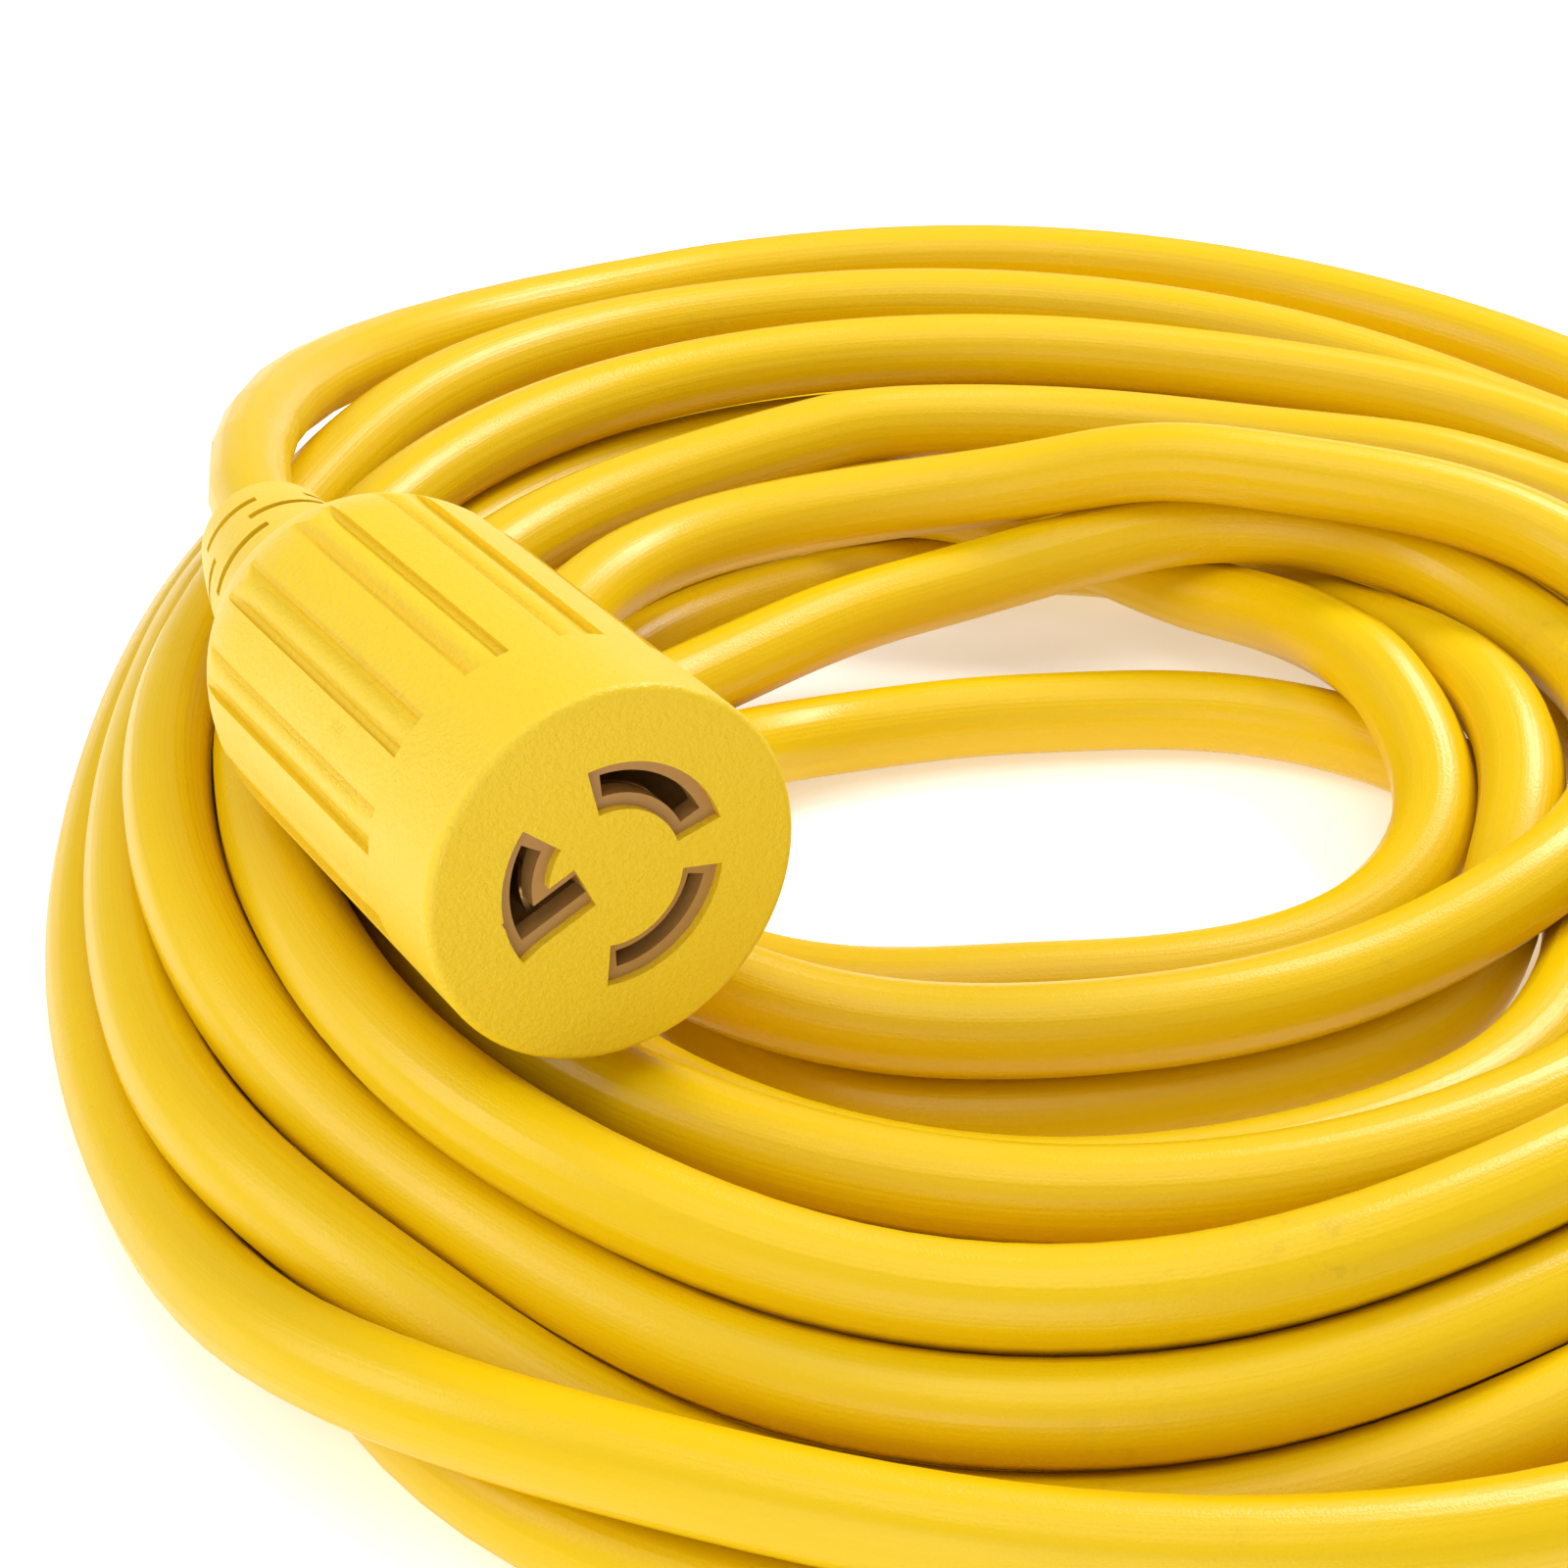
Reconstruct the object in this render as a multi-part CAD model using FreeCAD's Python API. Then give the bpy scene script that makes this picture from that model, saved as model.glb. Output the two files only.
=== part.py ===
# Shore power cord: a coiled three-conductor cord, with a moulded locking connector on one end
# and the matching moulded locking plug on the other.
#
# Frame: +Z up, the coil lies on z = 0, the origin is the middle of the coil on that surface.
# Units are millimetres and degrees.  Each piece is written to parts/NODE.step.
import FreeCAD, Part
import math
import os
from FreeCAD import Vector

# ---- driving dimensions -------------------------------------------------------------------

cord_dia = 9.2              # jacketed cord, three conductors of 2.1 mm2
wire_dia = 2.9              # insulated conductor
strand_dia = 1.9            # bare stranded copper

body_dia = 35.4             # moulded body, over the lands between the flutes
band_length = 12.0          # plain band between the face and the flutes
barrel_length = 47.0        # from the face to the start of the shoulder
shoulder_length = 15.0      # from the end of the barrel to the root of the strain relief
face_edge = 0.8             # rounding of the face's rim
face_skin = 0.9             # thickness of the yellow face over the carrier

flute_count = 12
flute_width = 4.5
flute_depth = 0.9
rib_radius = 2.6            # the rounded rib along the middle of each flute
rib_height = 0.55

relief_root_dia = 23.0      # tapered strain relief
relief_end_dia = 14.6
relief_length = 22.0
relief_slot_rows = 4
relief_slots_per_row = 4
relief_slot_width = 1.5
relief_slot_arc = 54.0
relief_slot_floor = 1.1     # what is left between a slot and the cord's jacket

carrier_dia = 27.2
carrier_length = 20.0
carrier_wall = 2.1          # front wall that the blades lock behind
rim_width = 1.15            # carrier showing round each slot inside its window
slot_mid_radius = 8.55      # middle of the blade circle
slot_width = 2.1            # neutral and ground
slot_width_line = 1.6
twist_angle = 20.0          # turn that locks the plug
neutral_slot = (21.0, 91.0)     # start and end, seen from the front, from the right-hand side
ground_slot = (146.0, 202.0)
line_slot = (-92.0, -19.0)
ground_foot_length = 6.6    # the ground slot's leg towards the middle, from the blade circle

contact_thickness = 0.5
contact_length = 11.0
chamber_margin = 0.9        # chamber wider than the slot on each side
tail_width = 3.0
crimp_wall = 0.55
crimp_length = 5.0
strip_lift = 0.12           # the joining strip starts inside the crimp's wall

blade_thickness = 1.2
blade_length = 14.6
blade_tip_length = 6.0      # the part of a blade that hooks behind the carrier's wall
blade_clear_angle = 2.0     # between a blade's edge and the end of its slot
blade_root_length = 8.0     # held in the plug's carrier

mold_dia = 25.0             # inner mould behind the carrier
mold_length = 30.0
jacket_end = barrel_length + 7.0  # from the face back to the cut end of the jacket
wire_spread = 2.3           # conductors' distance from the axis in the cord

# ---- where the two ends lie ---------------------------------------------------------------

connector_face = Vector(-37.4, -68.2, 44.8)     # middle of the mating face
connector_heading = -60.0   # direction that the face looks in, about Z from +X
connector_pitch = 6.8       # face turned up from level

plug_face = Vector(121.5, -107.0, 17.8)
plug_heading = -90.0
plug_pitch = 0.0

# the cord's route from the connector to the coil, after the two points inside the body
lead_route = [
    Vector(-82.5, 19.0, 33.0), Vector(-84.5, 43.0, 29.0), Vector(-82.0, 66.5, 22.5),
    Vector(-74.0, 89.0, 16.0), Vector(-58.5, 108.0, 11.5), Vector(-38.0, 120.0, 10.0),
]
# the cord's route from the coil to the plug, before the two points inside the body
tail_route = [
    Vector(79.0, 71.0, 4.8), Vector(94.0, 52.5, 5.0), Vector(106.0, 31.5, 7.5),
    Vector(114.5, 10.0, 12.0), Vector(120.5, -13.0, 17.0),
]

# ---- the coil: its outer shape at eight places round it, from +X towards +Y ------------------

coil_inner = [41.0, 26.0, 14.0, 18.0, 36.0, 37.0, 28.0, 34.0]
coil_outer = [102.0, 124.0, 134.0, 121.0, 101.5, 108.5, 122.5, 117.0]
coil_height = [26.0, 26.0, 25.0, 26.0, 27.5, 27.5, 27.0, 26.0]
crest_in = 22.0             # from the inner edge to the flat of the crest
crest_out = 19.0            # from the outer edge to the flat of the crest
coil_sections = 32
rest_gap = 0.4              # room left round the connector where it lies on the coil

CONTACTS = {"neutral": (neutral_slot, slot_width), "line": (line_slot, slot_width_line),
            "ground": (ground_slot, slot_width)}
slack = 0.05                # room round a piece inside another where they aren't moulded together
Z = Vector(0, 0, 1)


# ---- small helpers ------------------------------------------------------------------------

def polar(radius, angle, z=0.0):
    a = math.radians(angle)
    return Vector(radius * math.cos(a), radius * math.sin(a), z)


def rod(start, end, dia):
    return Part.makeCylinder(dia / 2, (end - start).Length, start, end - start)


def sector(r_in, r_out, start, end, z_low, z_high):
    """A curved plate between two radii, two angles and two heights."""
    mid = (start + end) / 2
    edges = [
        Part.LineSegment(polar(r_in, start, z_low), polar(r_out, start, z_low)).toShape(),
        Part.Arc(polar(r_out, start, z_low), polar(r_out, mid, z_low), polar(r_out, end, z_low)).toShape(),
        Part.LineSegment(polar(r_out, end, z_low), polar(r_in, end, z_low)).toShape(),
        Part.Arc(polar(r_in, end, z_low), polar(r_in, mid, z_low), polar(r_in, start, z_low)).toShape(),
    ]
    return Part.Face(Part.Wire(edges)).extrude(Vector(0, 0, z_high - z_low))


def bar(angle, length, width, z_low, z_high, from_radius=0.0, across=0.0):
    """A straight bar along one radius, shifted across by a distance."""
    box = Part.makeBox(length, width, z_high - z_low, Vector(from_radius, across - width / 2, z_low))
    box.rotate(Vector(), Z, angle)
    return box


def end_frame(face, heading, pitch):
    """Placement of an end: local z looks out of the face, x to its right, y up."""
    h = math.radians(heading)
    p = math.radians(pitch)
    out = Vector(math.cos(p) * math.cos(h), math.cos(p) * math.sin(h), math.sin(p))
    right = Vector(-math.sin(h), math.cos(h), 0)
    up = out.cross(right)
    m = FreeCAD.Matrix(right.x, up.x, out.x, face.x, right.y, up.y, out.y, face.y,
                       right.z, up.z, out.z, face.z, 0, 0, 0, 1)
    return FreeCAD.Placement(m)


def placed(shape, frame):
    copy = shape.copy()
    copy.Placement = frame.multiply(copy.Placement)
    return copy


# ---- the cord's route: straight runs joined by tangent arcs --------------------------------

def route_pieces(points):
    """List of (start, middle or None, end): runs have no middle, arcs have one."""
    pieces = []
    start = points[0]
    for before, corner, after in zip(points, points[1:], points[2:]):
        a = (before - corner)
        b = (after - corner)
        cut = 0.45 * min(a.Length, b.Length)
        a.normalize()
        b.normalize()
        turn = math.pi - a.getAngle(b)
        radius = cut / math.tan(turn / 2)
        print("arc radius %.0f, turn %.0f degrees" % (radius, math.degrees(turn)))
        enter = corner + a * cut
        leave = corner + b * cut
        inward = a + b
        inward.normalize()
        reach = radius / math.cos(turn / 2) - radius
        pieces.append((start, None, enter))
        pieces.append((enter, corner + inward * reach, leave))
        start = leave
    pieces.append((start, None, points[-1]))
    return pieces


def route_wire(points):
    edges = []
    for start, middle, end in route_pieces(points):
        if middle is None:
            edges.append(Part.LineSegment(start, end).toShape())
        else:
            edges.append(Part.Arc(start, middle, end).toShape())
    return Part.Wire(edges)


def along(wire, distance):
    """Point and direction on the route at a distance from its start."""
    for edge in wire.OrderedEdges:
        if distance <= edge.Length:
            at = edge.getParameterByLength(distance)
            return edge.valueAt(at), edge.tangentAt(at)
        distance -= edge.Length
    raise ValueError("past the end of the route")


def cord_tube(wire):
    start, direction = along(wire, 0.0)
    section = Part.Wire(Part.Circle(start, direction, cord_dia / 2).toShape())
    tube = wire.makePipeShell([section], True, False)
    expected = math.pi * cord_dia ** 2 / 4 * wire.Length
    print("tube %.0f mm long, volume %.4f of section x length" % (wire.Length, tube.Volume / expected))
    if not tube.isValid() or abs(tube.Volume / expected - 1) > 0.01:
        raise ValueError("the cord's tube is not a clean sweep")
    return tube


def inside_points(frame):
    """The route inside an end: the jacket's cut end, and the middle of the strain relief."""
    middle = barrel_length + shoulder_length + relief_length / 2
    return [frame.multVec(Vector(0, 0, -jacket_end)), frame.multVec(Vector(0, 0, -middle))]


# ---- the moulded ends: carrier, contacts, blades, conductors ---------------------------------

def slot_cut(name, grow, z_low, z_high, hand, extra=0.0):
    """A contact's slot, grown all round, between two heights.  hand -1 is the plug's mirror view."""
    (start, end), width = CONTACTS[name]
    grow_angle = math.degrees(grow / slot_mid_radius)
    low = start - grow_angle
    high = end + grow_angle + extra
    r_in = slot_mid_radius - width / 2 - grow
    r_out = slot_mid_radius + width / 2 + grow
    cut = sector(r_in, r_out, low, high, z_low, z_high)
    if name == "ground":
        foot = bar(end, ground_foot_length + grow, width + 2 * grow, z_low, z_high,
                   r_out - ground_foot_length - grow - 0.3, -width / 2)
        cut = cut.fuse(foot)
    return mirrored(cut, hand)


def mirrored(shape, hand):
    return shape if hand > 0 else shape.mirror(Vector(), Vector(1, 0, 0))


def mid_angle(name, hand):
    (start, end), _ = CONTACTS[name]
    angle = (start + end) / 2
    return angle if hand > 0 else 180 - angle


def conductor_line(name, hand, back):
    """Points of a conductor: crimp front, crimp back, and where it enters the jacket."""
    angle = mid_angle(name, hand)
    front = -(face_skin + carrier_length + 2.0)
    return [polar(slot_mid_radius, angle, front), polar(slot_mid_radius, angle, front - crimp_length - 1.5),
            polar(wire_spread, angle, -back)]


def strands(name, hand):
    a, b, c = conductor_line(name, hand, jacket_end)
    core = rod(a, b, strand_dia).fuse(rod(b, c, strand_dia))
    return core.fuse(Part.makeSphere(strand_dia / 2, b)).removeSplitter()


def wire(name, hand):
    _, b, c = conductor_line(name, hand, jacket_end)
    tube = rod(b, c, wire_dia)
    limit = Part.makeCylinder(body_dia, jacket_end + b.z, Vector(0, 0, -jacket_end))
    return tube.common(limit).cut(strands(name, hand))


def crimp(name, hand):
    """The barrel round the strands and the strip that joins it to its contact or blade."""
    a, _, _ = conductor_line(name, hand, jacket_end)
    back = Vector(a.x, a.y, a.z - crimp_length)
    barrel = rod(a, back, strand_dia + 2 * crimp_wall).cut(rod(a, back, strand_dia))
    z_front = -(face_skin + carrier_wall + contact_length)
    strip = bar(mid_angle(name, hand), contact_thickness * 2, tail_width, a.z - crimp_length / 2, z_front,
                slot_mid_radius + strand_dia / 2 + strip_lift)
    return barrel.fuse(strip)


def contact(name):
    """A spring contact: two curved leaves on a curved floor, with its crimp behind."""
    (start, end), width = CONTACTS[name]
    z_back = -(face_skin + carrier_wall + contact_length)
    z_front = -(face_skin + carrier_wall + 0.6)
    r_in = slot_mid_radius - width / 2
    r_out = slot_mid_radius + width / 2
    t = contact_thickness
    inner = sector(r_in - t, r_in, start + twist_angle, end, z_back, z_front)
    outer = sector(r_out, r_out + t, start + twist_angle, end, z_back, z_front)
    floor = sector(r_in - t, r_out + t, start + twist_angle, end, z_back - t, z_back)
    return inner.fuse([outer, floor, crimp(name, 1)]).removeSplitter()


def chamber(name, hand):
    """The room behind the front wall where the contact stands and the blade turns."""
    z_back = -(face_skin + carrier_wall + contact_length + contact_thickness)
    z_front = -(face_skin + carrier_wall)
    return slot_cut(name, chamber_margin, z_back, z_front, hand)


def carrier_blank():
    return Part.makeCylinder(carrier_dia / 2, carrier_length, Vector(0, 0, -face_skin - carrier_length))


def connector_carrier():
    shape = carrier_blank()
    for name in CONTACTS:
        front = slot_cut(name, 0.0, -face_skin - carrier_wall, -face_skin, 1)
        shape = shape.cut([front, chamber(name, 1), contact(name)])
    return shape


def blade(name):
    """A locking blade: narrow at its root, wider at the tip, which hooks behind the wall."""
    (start, end), _ = CONTACTS[name]
    r_in = slot_mid_radius - blade_thickness / 2
    r_out = slot_mid_radius + blade_thickness / 2
    low = start + blade_clear_angle
    high = end - blade_clear_angle
    root_z = -face_skin - blade_root_length
    root = sector(r_in, r_out, low, high - twist_angle, root_z, blade_length)
    tip = sector(r_in, r_out, low, high, blade_length - blade_tip_length, blade_length)
    shape = root.fuse(tip)
    if name == "ground":
        leg = bar(low, ground_foot_length - 1.6, blade_thickness, blade_length - blade_tip_length,
                  blade_length, r_out - ground_foot_length + 1.0, blade_thickness / 2)
        shape = shape.fuse(leg)
    tail = bar((low + high - twist_angle) / 2, blade_thickness, tail_width,
               -(face_skin + carrier_length + 4.0), root_z, r_in)
    return mirrored(shape.fuse(tail), -1).removeSplitter()


def plug_crimp(name):
    a, _, _ = conductor_line(name, -1, jacket_end)
    back = Vector(a.x, a.y, a.z - crimp_length)
    return rod(a, back, strand_dia + 2 * crimp_wall).cut(rod(a, back, strand_dia))


def plug_blade(name):
    """The blade with its crimp, joined by a short cross strip behind the carrier."""
    (start, end), _ = CONTACTS[name]
    turn = ((start + end) / 2) - ((start + end - twist_angle) / 2)
    z = -(face_skin + carrier_length + 4.0)
    r_in = slot_mid_radius + strand_dia / 2 + strip_lift
    link = sector(r_in, r_in + 0.9, (start + end) / 2 - turn - 9, (start + end) / 2 + 9, z, z + 3.0)
    shape = blade(name).fuse([mirrored(link, -1), plug_crimp(name)])
    return shape.cut(strands(name, -1)).removeSplitter()


def plug_carrier():
    return carrier_blank().cut([plug_blade(name) for name in CONTACTS])


def mold_blank():
    front = face_skin + carrier_length
    nose = min(8.0, mold_length / 3)
    straight = Part.makeCylinder(mold_dia / 2, mold_length - nose, Vector(0, 0, -front - mold_length + nose))
    cone = Part.makeCone(mold_dia / 2 - 4.0, mold_dia / 2, nose, Vector(0, 0, -front - mold_length))
    return straight.fuse(cone).removeSplitter()


def inner_mold(hand, metal):
    """The first-shot mould, cast round the crimps and conductors."""
    limit = Part.makeCylinder(body_dia, jacket_end, Vector(0, 0, -jacket_end))
    shape = mold_blank().common(limit)
    for name in CONTACTS:
        shape = shape.cut([strands(name, hand), wire(name, hand), metal(name)])
    return shape


# ---- the moulded ends: the yellow body ----------------------------------------------------

def body_blank():
    """Barrel, rounded shoulder and root, turned about the axis, from a half outline."""
    r = body_dia / 2
    root = relief_root_dia / 2
    z_shoulder = -barrel_length
    z_root = -barrel_length - shoulder_length
    bulge = Vector(root + (r - root) * 0.72, 0, z_shoulder - shoulder_length * 0.55)
    edge = face_edge
    corner = Vector(r - edge + edge * math.sin(math.pi / 4), 0, -edge + edge * math.cos(math.pi / 4))
    points = [Vector(0, 0, 0), Vector(r - edge, 0, 0), Vector(r, 0, -edge), Vector(r, 0, z_shoulder),
              Vector(root, 0, z_root), Vector(0, 0, z_root)]
    edges = [
        Part.LineSegment(points[0], points[1]).toShape(),
        Part.Arc(points[1], corner, points[2]).toShape(),
        Part.LineSegment(points[2], points[3]).toShape(),
        Part.Arc(points[3], bulge, points[4]).toShape(),
        Part.LineSegment(points[4], points[5]).toShape(),
        Part.LineSegment(points[5], points[0]).toShape(),
    ]
    return Part.Face(Part.Wire(edges)).revolve(Vector(), Z, 360)


def flutes():
    """Recesses along the grip, and the rounded ribs that stand in them."""
    r = body_dia / 2
    length = barrel_length + shoulder_length - band_length
    recess = Part.makeBox(2 * flute_depth, flute_width, length,
                          Vector(r - flute_depth, -flute_width / 2, -band_length - length))
    rib = Part.makeCylinder(rib_radius, length, Vector(r - flute_depth + rib_height - rib_radius, 0,
                                                      -band_length - length))
    cuts = []
    ribs = []
    for k in range(flute_count):
        turn = (k + 0.5) * 360.0 / flute_count
        for shape, group in ((recess, cuts), (rib, ribs)):
            copy = shape.copy()
            copy.rotate(Vector(), Z, turn)
            group.append(copy)
    return cuts, ribs


def strain_relief(path):
    """Tapered sleeve that follows the cord out of the body, with staggered cross slots."""
    root_at = barrel_length + shoulder_length - jacket_end - 0.5
    steps = 5
    rings = []
    for k in range(steps + 1):
        share = k / steps
        centre, direction = along(path, root_at + share * (relief_length + 0.5))
        dia = relief_root_dia + (relief_end_dia - relief_root_dia) * share ** 0.8
        rings.append(Part.Wire(Part.Circle(centre, direction, dia / 2).toShape()))
    shape = Part.makeLoft(rings, True, False)
    pitch = (relief_length - 3.0) / relief_slot_rows
    slots = []
    for row in range(relief_slot_rows):
        at = (row + 0.55) * pitch
        centre, direction = along(path, root_at + at)
        floor = cord_dia / 2 + relief_slot_floor
        turn = FreeCAD.Rotation(Z, direction)
        for k in range(relief_slots_per_row):
            start = (k + 0.5 * (row % 2)) * 360.0 / relief_slots_per_row
            slot = sector(floor, relief_root_dia, start, start + relief_slot_arc,
                          -relief_slot_width / 2, relief_slot_width / 2)
            slots.append(placed(slot, FreeCAD.Placement(centre, turn)))
    return shape.cut(slots)


def moulded_body(frame, path, inserts):
    """The overmould in place: fluted body and strain relief round all that it is cast on."""
    cuts, ribs = flutes()
    blank = body_blank()
    keep = [rib.common(blank) for rib in ribs]
    body = blank.cut(cuts).fuse(keep)
    shape = placed(body, frame).fuse(strain_relief(path))
    shape = shape.cut(inserts)
    return shape.removeSplitter()


# ---- the coil -----------------------------------------------------------------------------

def between(values, angle):
    """A value round the coil, smooth between the eight places and closed."""
    count = len(values)
    place = (angle / 360.0 * count) % count
    k = int(place)
    u = place - k
    p0, p1, p2, p3 = (values[(k + i) % count] for i in (-1, 0, 1, 2))
    return 0.5 * (2 * p1 + (p2 - p0) * u + (2 * p0 - 5 * p1 + 4 * p2 - p3) * u ** 2
                  + (3 * p1 - p0 - 3 * p2 + p3) * u ** 3)


def coil_section(angle):
    inner = between(coil_inner, angle)
    outer = between(coil_outer, angle)
    top = between(coil_height, angle)
    r = cord_dia / 2
    outline = [(inner + r, 0), (outer - r, 0), (outer, r), (outer - r, 2.6 * r), (outer - crest_out, top),
               (inner + crest_in, top), (inner + r, 2.6 * r), (inner, r)]
    corners = [polar(radius, angle, z) for radius, z in outline]
    return Part.makePolygon(corners + corners[:1])


def coil_blank():
    """The outer shape of the heaped turns: flat below, with a rounded crest."""
    sections = [coil_section(360.0 * k / coil_sections) for k in range(coil_sections)]
    corners = [[v.Point for v in section.OrderedVertexes] for section in sections]
    outer_foot = [ring[1] for ring in corners]
    inner_foot = [ring[0] for ring in corners]
    rims = [Part.makePolygon(foot + foot[:1]) for foot in (outer_foot, inner_foot)]
    faces = [Part.makeFace(rims, "Part::FaceMakerBullseye")]
    for here, following in zip(corners, corners[1:] + corners[:1]):
        for i in range(1, len(here)):
            j = (i + 1) % len(here)
            for loop in ((here[i], here[j], following[j]), (here[i], following[j], following[i])):
                faces.append(Part.Face(Part.makePolygon(list(loop) + [loop[0]])))
    shell = Part.makeShell(faces)
    shell.sewShape()
    solid = Part.makeSolid(shell)
    if solid.Volume < 0:
        solid.reverse()
    return solid


def resting_room(frame):
    """The space that the connector takes where it lies on the coil."""
    r = body_dia / 2 + rest_gap
    body = Part.makeCylinder(r, barrel_length + rest_gap, Vector(0, 0, -barrel_length))
    shoulder = Part.makeCone(relief_root_dia / 2 + rest_gap, r, shoulder_length,
                             Vector(0, 0, -barrel_length - shoulder_length))
    full = body.fuse(shoulder)
    back = Part.makeCylinder(relief_root_dia / 2 + rest_gap, relief_length + 4,
                             Vector(0, 0, -barrel_length - shoulder_length - relief_length - 4))
    return placed(full.fuse(back), frame)


# ---- build and write ------------------------------------------------------------------------

def moulded_end(prefix, hand, frame, path, tube, metal, carrier, metal_name):
    """All the pieces of one end, by node name."""
    parts = {}
    for name in CONTACTS:
        parts["%s_%s_%s" % (prefix, metal_name, name)] = placed(metal(name), frame)
        parts["%s_wire_%s" % (prefix, name)] = placed(wire(name, hand), frame)
        parts["%s_strands_%s" % (prefix, name)] = placed(strands(name, hand), frame)
    parts[prefix + "_carrier"] = placed(carrier(), frame)
    parts[prefix + "_inner_mold"] = placed(inner_mold(hand, metal), frame)
    room = [placed(carrier_blank(), frame), placed(mold_blank(), frame), tube]
    for name in CONTACTS:
        if hand > 0:
            room.append(placed(slot_cut(name, rim_width, -face_skin - 0.1, 0.1, hand), frame))
        else:
            room.append(parts["%s_%s_%s" % (prefix, metal_name, name)])
        room.append(parts["%s_wire_%s" % (prefix, name)])
        room.append(parts["%s_strands_%s" % (prefix, name)])
    parts[prefix + "_body"] = moulded_body(frame, path, room)
    return parts


def contact_with_strands(name):
    return contact(name).cut(strands(name, 1))


def main():
    os.makedirs("parts", exist_ok=True)
    connector = end_frame(connector_face, connector_heading, connector_pitch)
    plug = end_frame(plug_face, plug_heading, plug_pitch)
    lead_path = route_wire(inside_points(connector) + lead_route)
    tail_points = inside_points(plug) + tail_route[::-1]
    tail_path = route_wire(tail_points)
    lead = cord_tube(lead_path)
    tail = cord_tube(tail_path)
    parts = moulded_end("connector", 1, connector, lead_path, lead, contact_with_strands,
                        connector_carrier, "contact")
    parts.update(moulded_end("plug", -1, plug, tail_path, tail, plug_blade, plug_carrier, "blade"))
    parts["cord_lead"] = lead
    parts["cord_tail"] = tail
    parts["cord_coil"] = coil_blank().cut([lead, tail, resting_room(connector), resting_room(plug)])
    for name, shape in sorted(parts.items()):
        solids = shape.Solids
        box = shape.BoundBox
        print("%-28s solids %d valid %s volume %9.1f  x %.1f..%.1f y %.1f..%.1f z %.1f..%.1f" % (
            name, len(solids), shape.isValid(), shape.Volume, box.XMin, box.XMax, box.YMin, box.YMax,
            box.ZMin, box.ZMax))
        shape.exportStep(os.path.join("parts", name + ".step"))


main()
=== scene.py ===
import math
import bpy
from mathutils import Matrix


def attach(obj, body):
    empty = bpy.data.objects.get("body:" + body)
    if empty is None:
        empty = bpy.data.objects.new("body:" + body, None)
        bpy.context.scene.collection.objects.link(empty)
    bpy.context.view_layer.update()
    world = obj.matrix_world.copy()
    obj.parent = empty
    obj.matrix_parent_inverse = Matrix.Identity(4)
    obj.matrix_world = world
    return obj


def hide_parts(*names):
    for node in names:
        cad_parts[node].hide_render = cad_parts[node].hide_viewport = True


bl_info = {
    "name": "Shore Power Cord",
    "version": (1, 0, 0),
    "blender": (4, 5, 0),
    "location": "View3D > Sidebar > Shore Cord",
    "description": "Coiled yellow shore power cord with a moulded locking connector and plug",
    "category": "Object",
}

import bmesh
import bpy
import numpy as np
from mathutils import Matrix, Vector

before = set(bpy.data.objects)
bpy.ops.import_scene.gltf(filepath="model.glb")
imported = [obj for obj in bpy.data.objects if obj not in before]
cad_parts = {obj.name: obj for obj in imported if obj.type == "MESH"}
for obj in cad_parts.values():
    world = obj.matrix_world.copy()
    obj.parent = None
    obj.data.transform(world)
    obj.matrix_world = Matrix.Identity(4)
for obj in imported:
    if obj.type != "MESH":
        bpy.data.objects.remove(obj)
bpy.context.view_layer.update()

MM = 0.001
BODY = "root"

# ---- the connector and plug that the cord joins, in millimetres as the part gives them
CONNECTOR_FACE = np.array((-37.4, -68.2, 44.8))
CONNECTOR_AXIS = np.array((0.4965, -0.8600, 0.1184))
CONNECTOR_AXIS /= np.linalg.norm(CONNECTOR_AXIS)
CONNECTOR_RIGHT = (0.8660, 0.5000, 0.0)
PLUG_FACE = (121.5, -107.0, 17.8)
PLUG_AXIS = (0.0, -1.0, 0.0)
PLUG_RIGHT = (1.0, 0.0, 0.0)
# distances back from the connector's face; the strain relief runs from 62 to 84
JACKET_END = 54.0      # the cut end of the cord's jacket
RELIEF_MIDDLE = 73.0
# distance back from the face, and radius there
CONNECTOR_PROFILE = ((-1, 17.7), (47, 17.7), (57.5, 15.3), (62, 12.0), (84, 7.5))

# ---- the rounded rib that stands in each flute of the grip
FLUTES = 12
RIB_FROM, RIB_TO = 13.0, 50.5      # back from the face
RIB_FLOOR, RIB_TOP = 16.6, 17.52   # from the axis
RIB_HALF_WIDTH = 1.35

# ---- listed runs: from the connector to the coil, and from the coil to the plug
LEAD_RUN = [
    (-82.5, 19, 33), (-84.5, 43, 29), (-82, 66.5, 22.5),
    (-74, 89, 16), (-58.5, 108, 11.5), (-38, 120, 10),
]
TAIL_RUN = [
    (79, 71, 4.8), (94, 52.5, 5), (106, 31.5, 7.5), (114.5, 10, 12),
    (120.5, -13, 17), (121.5, -34, 17.8), (121.5, -53, 17.8),
]

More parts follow.
